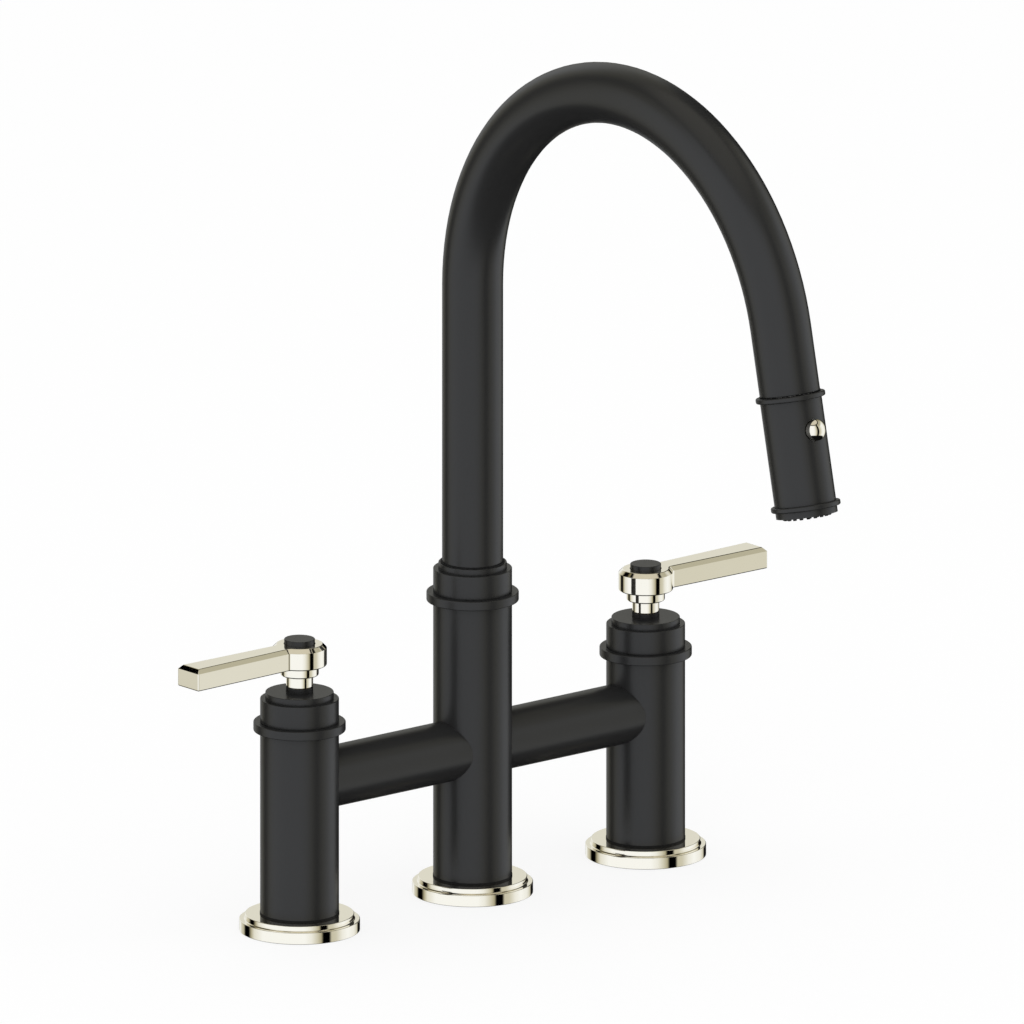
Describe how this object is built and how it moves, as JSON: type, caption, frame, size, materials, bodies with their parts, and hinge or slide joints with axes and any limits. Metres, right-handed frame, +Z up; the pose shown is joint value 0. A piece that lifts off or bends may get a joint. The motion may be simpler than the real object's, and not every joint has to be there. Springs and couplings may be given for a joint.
{
  "type": "bridge kitchen faucet",
  "caption": "Bridge kitchen faucet with side levers, a high gooseneck spout and a pull-down spray head with a spray button.",
  "frame": {"origin": "centre of the middle post on the deck plane", "axes": "+Z up, +X along the row of posts from hot to cold, the spout reaches out to -Y"},
  "size_m": [0.3342, 0.2758, 0.406],
  "materials": {
    "satin_black": "satin",
    "champagne_gold": "polished",
    "black_trim": "satin",
    "bare_brass": "satin",
    "steel": "satin",
    "valve_ceramic": "gloss",
    "white_plastic": "matte",
    "rubber": "matte",
    "hose_nylon": "matte"
  },
  "bodies": {
    "root": {"bridge_seals": "rubber", "centre_bonnet": "satin_black", "centre_flange": "champagne_gold", "centre_post": "satin_black", "centre_post_ring": "satin_black", "cold_bonnet": "satin_black", "cold_bridge_tube": "satin_black", "cold_cartridge": "bare_brass", "cold_fixed_disc": "valve_ceramic", "cold_flange": "champagne_gold", "cold_post": "satin_black", "cold_post_ring": "satin_black", "cold_seat_tube": "bare_brass", "cold_stem_bush": "black_trim", "deck_gaskets": "rubber", "hose_conduit": "white_plastic", "hot_bonnet": "satin_black", "hot_bridge_tube": "satin_black", "hot_cartridge": "bare_brass", "hot_fixed_disc": "valve_ceramic", "hot_flange": "champagne_gold", "hot_post": "satin_black", "hot_post_ring": "satin_black", "hot_seat_tube": "bare_brass", "hot_stem_bush": "black_trim", "seat_seals": "rubber", "swivel_bushes": "white_plastic", "thrust_washer": "white_plastic"},
    "hot_lever": {"hot_lever": "champagne_gold", "hot_lever_stem": "champagne_gold", "hot_lever_cap": "black_trim", "hot_lever_screw": "steel", "hot_spindle": "bare_brass", "hot_moving_disc": "valve_ceramic"},
    "cold_lever": {"cold_lever": "champagne_gold", "cold_lever_stem": "champagne_gold", "cold_lever_cap": "black_trim", "cold_lever_screw": "steel", "cold_spindle": "bare_brass", "cold_moving_disc": "valve_ceramic"},
    "spout": {"spout": "satin_black", "dock_socket": "white_plastic", "spout_snap_ring": "steel", "spray_hose": "hose_nylon"},
    "hose_end": {"hose_ferrule": "steel", "hose_connector": "bare_brass"},
    "spray_head": {"waterway_body": "white_plastic", "spray_shell": "satin_black", "upper_head_ring": "satin_black", "lower_head_ring": "satin_black", "nozzle_skirt": "satin_black", "spray_face": "rubber", "stream_former": "white_plastic", "check_valve": "white_plastic", "union_nut": "bare_brass", "button_spring": "steel"},
    "spray_button": {"spray_button": "champagne_gold", "diverter_spool": "white_plastic"}
  },
  "joints": [
    {"name": "hot_lever_turn", "type": "hinge", "parent": "root", "child": "hot_lever", "pos_m": [-0.1016, 0, 0.1232], "axis": [0, 0, 1], "range_deg": [0, 90]},
    {"name": "cold_lever_turn", "type": "hinge", "parent": "root", "child": "cold_lever", "pos_m": [0.1016, 0, 0.1232], "axis": [0, 0, 1], "range_deg": [-90, 0]},
    {"name": "spout_swivel", "type": "hinge", "parent": "root", "child": "spout", "pos_m": [0, 0, 0.116], "axis": [0, 0, 1], "range_deg": [-90, 90]},
    {"name": "head_pull", "type": "slide", "parent": "spout", "child": "hose_end", "axis": [0, -0.2147, -0.9767], "range_m": [0, 0.2]},
    {"name": "head_turn", "type": "hinge", "parent": "hose_end", "child": "spray_head", "pos_m": [0, -0.21995, 0.28709], "axis": [0, -0.2147, -0.9767], "continuous": true},
    {"name": "button_press", "type": "slide", "parent": "spray_head", "child": "spray_button", "axis": [0, 0.9767, -0.2147], "range_m": [0, 0.0025], "stiffness_N_per_m": 800, "springref_m": -0.002, "deforming": ["button_spring"]}
  ]
}
